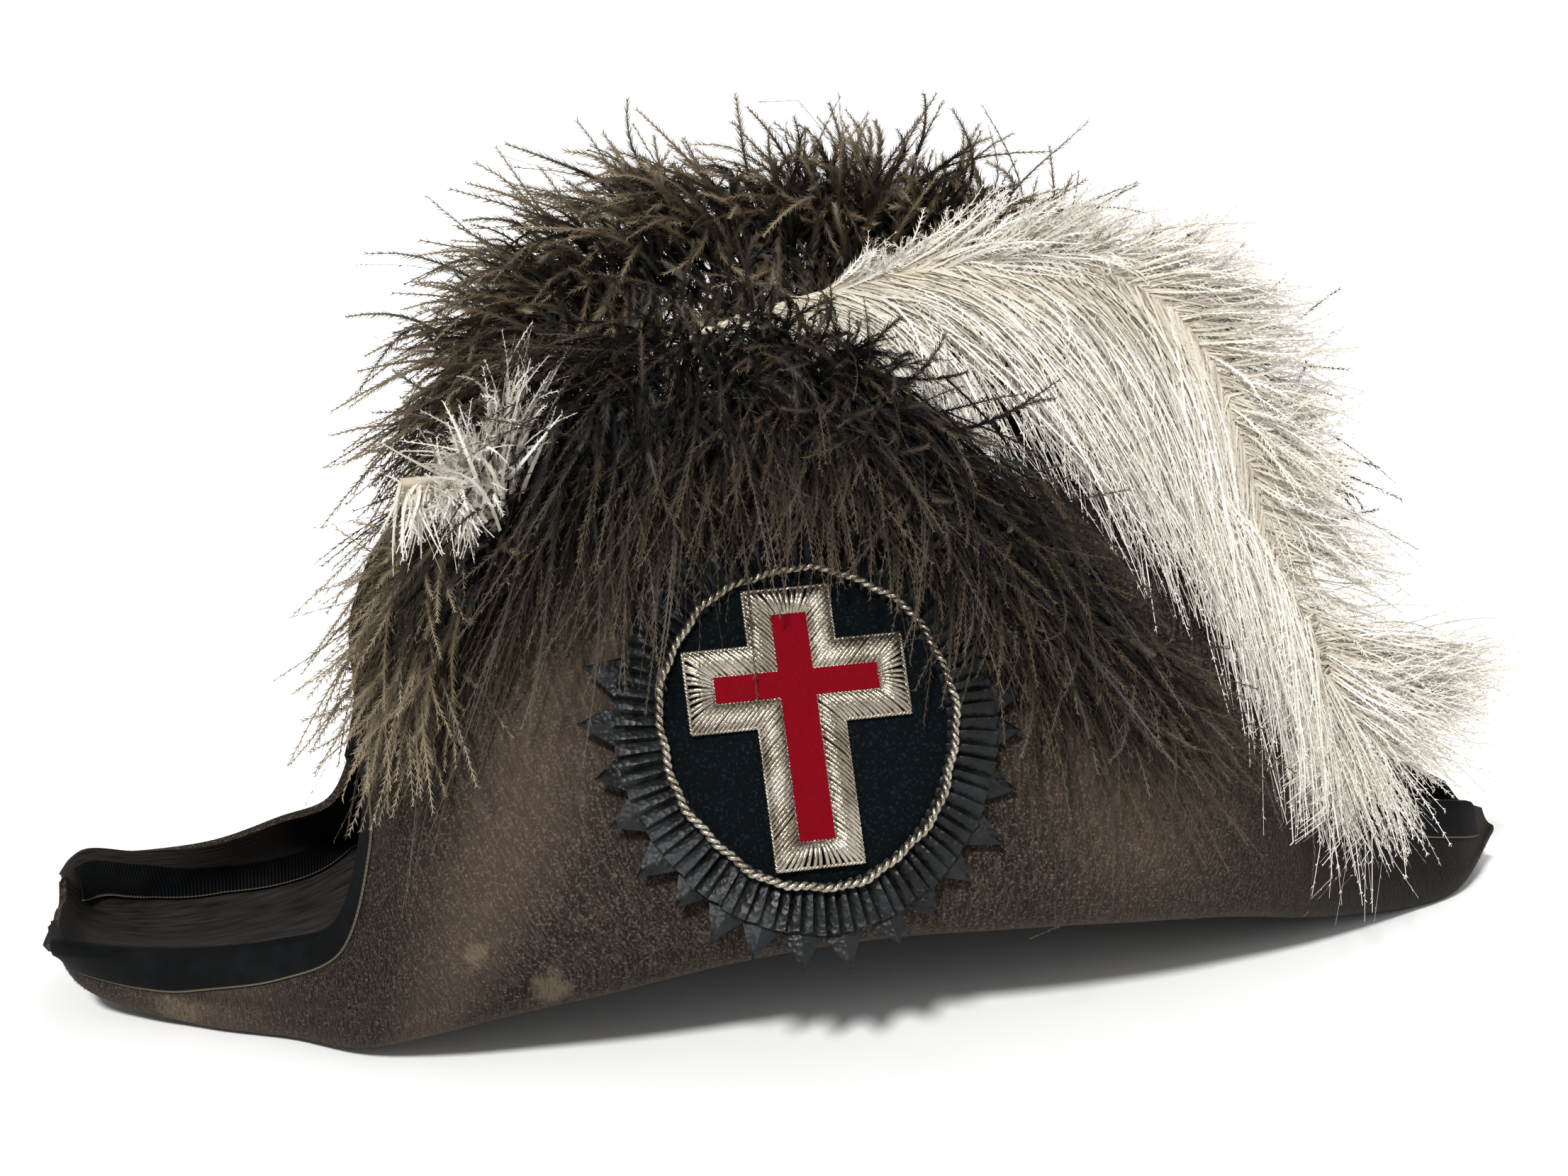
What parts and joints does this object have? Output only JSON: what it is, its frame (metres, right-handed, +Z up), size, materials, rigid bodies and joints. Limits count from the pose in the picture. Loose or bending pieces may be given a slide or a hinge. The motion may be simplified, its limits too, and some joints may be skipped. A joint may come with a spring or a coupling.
{
  "type": "plumed_chapeau",
  "caption": "Folded felt dress hat worn fore and aft, with ribbon-bound leaves, a pleated rosette carrying an embroidered cross, and black and white ostrich plumes.",
  "frame": {"origin": "middle of the footprint, on the surface that the hat rests on", "axes": "+X to the back of the hat, -Y to the badge side, +Z up"},
  "size_m": [0.421, 0.2072, 0.2307],
  "materials": {
    "fur_felt": "faded fur felt with a short nap",
    "grosgrain": "ribbed black ribbon",
    "pleated_leather": "thin glazed leather in pressed folds",
    "silk_velvet": "black pile",
    "silver_bullion": "tarnished silver wire",
    "red_cloth": "flat red cloth",
    "white_ostrich": "loose white barbs",
    "black_ostrich": "loose barbs, black faded to brown"
  },
  "bodies": {
    "root": {"brim": "fur_felt", "crown_near": "fur_felt", "crown_far": "fur_felt", "leaf_binding_near": "grosgrain", "leaf_binding_far": "grosgrain", "front_ribbon_near": "grosgrain", "front_ribbon_far": "grosgrain", "rosette_points": "pleated_leather", "rosette_pleats": "pleated_leather", "badge_velvet": "silk_velvet", "badge_cord": "silver_bullion", "badge_cross": "silver_bullion", "badge_cross_center": "red_cloth", "plume_white": "white_ostrich", "plume_black_crest": "black_ostrich", "plume_black_near": "black_ostrich", "plume_black_far": "black_ostrich"}
  },
  "joints": []
}
